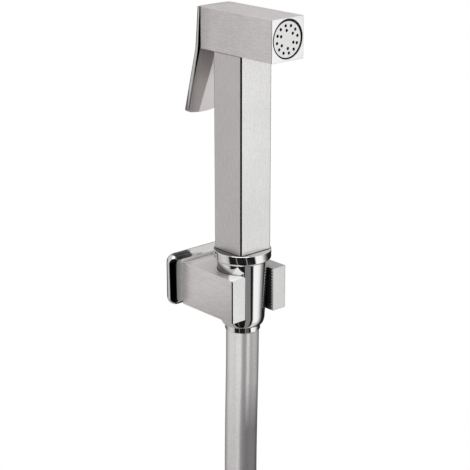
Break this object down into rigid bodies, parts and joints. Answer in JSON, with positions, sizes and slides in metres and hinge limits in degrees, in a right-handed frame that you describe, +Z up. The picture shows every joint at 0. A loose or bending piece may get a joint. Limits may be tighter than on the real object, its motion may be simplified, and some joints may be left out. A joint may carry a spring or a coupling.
{
  "type": "handheld bidet shower",
  "caption": "Square-section handheld bidet shower with a rear trigger lever, resting in a wall holder, with its hose stored in a coil.",
  "frame": {"origin": "centre of the wall plate's back face, which lies on the wall", "axes": "+Y into the wall, -Y the way the spray faces, +Z up along the handle"},
  "size_m": [0.2339, 0.0643, 0.4429],
  "materials": {
    "satin_steel": "satin, fine grain, slightly warm",
    "spray_steel": "satin",
    "polished_steel": "polished",
    "brass": "turned",
    "spring_steel": "drawn wire",
    "black_rubber": "matte",
    "hose_liner": "matte",
    "hose_silver": "smooth silver, satin sheen"
  },
  "bodies": {
    "handset_and_holder": {"wall_plate": "satin_steel", "holder_arm": "satin_steel", "grub_screw": "polished_steel", "head_housing": "satin_steel", "spray_plate": "spray_steel", "spray_gasket": "black_rubber", "valve_seat": "brass", "valve_spring": "spring_steel", "gland_nut": "brass", "stem_o_ring": "black_rubber", "lever_pin": "polished_steel", "handle_tube": "satin_steel", "water_pipe": "brass", "upper_o_ring": "black_rubber", "lower_o_ring": "black_rubber", "inlet_collar": "satin_steel", "cone_nut": "satin_steel", "crimp_sleeve_top": "polished_steel", "hose_liner_top": "hose_liner", "hose_tail_top": "brass", "hose_washer_top": "black_rubber", "hose_tube": "hose_silver", "hose_coil": "hose_silver", "coil_tie": "black_rubber", "hose_end_run": "hose_silver", "crimp_sleeve_end": "polished_steel", "hose_liner_end": "hose_liner", "hose_tail_end": "brass", "hose_washer_end": "black_rubber"},
    "lever": {"trigger_lever": "satin_steel"},
    "valve": {"valve_stem": "brass", "valve_seal": "black_rubber"},
    "loose_nut": {"end_nut": "polished_steel"}
  },
  "joints": [
    {"name": "lever_hinge", "type": "hinge", "parent": "handset_and_holder", "child": "lever", "pos_m": [0, -0.0172, 0.1368], "axis": [-1, 0, 0], "range_deg": [0, 3.6], "stiffness_Nm_per_rad": 1, "springref_deg": -6.88},
    {"name": "valve_slide", "type": "slide", "parent": "handset_and_holder", "child": "valve", "axis": [0, -1, 0], "range_m": [0, 0.0005], "deforming": ["valve_spring"]},
    {"name": "end_nut_swivel", "type": "hinge", "parent": "handset_and_holder", "child": "loose_nut", "pos_m": [0, -0.0153, -0.294], "axis": [0, 0, 1], "continuous": true}
  ],
  "couplings": [
    {"joint": "valve_slide", "follows": "lever_hinge", "m_per_rad": 0.007175}
  ]
}
